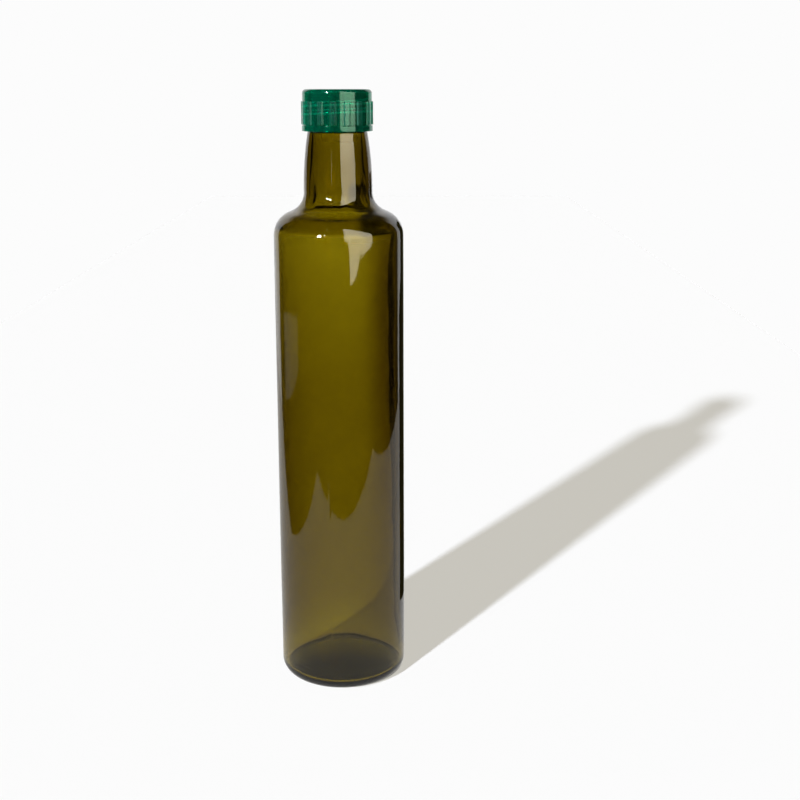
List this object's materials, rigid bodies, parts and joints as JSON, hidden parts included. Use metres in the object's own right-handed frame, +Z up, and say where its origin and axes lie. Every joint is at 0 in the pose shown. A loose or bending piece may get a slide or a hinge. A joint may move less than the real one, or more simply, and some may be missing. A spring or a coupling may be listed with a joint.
{
  "type": "olive oil bottle",
  "caption": "Tall round bottle of olive green glass with a sloping shoulder, a swelling neck and a translucent green ribbed screw cap, empty.",
  "frame": {"origin": "middle of the circle of bars that the bottle stands on, at the level of the ground", "axes": "+Z up along the bottle's axis, -Y towards the front, +X to the right seen from the front"},
  "size_m": [0.0624, 0.0624, 0.2888],
  "materials": {
    "olive_green_glass": "clear olive green container glass, blown in a mould and fire polished",
    "green_cap_plastic": "translucent emerald green plastic, injection moulded, glossy"
  },
  "bodies": {
    "root": {"bottle": "olive_green_glass", "screw_cap": "green_cap_plastic"}
  },
  "joints": []
}
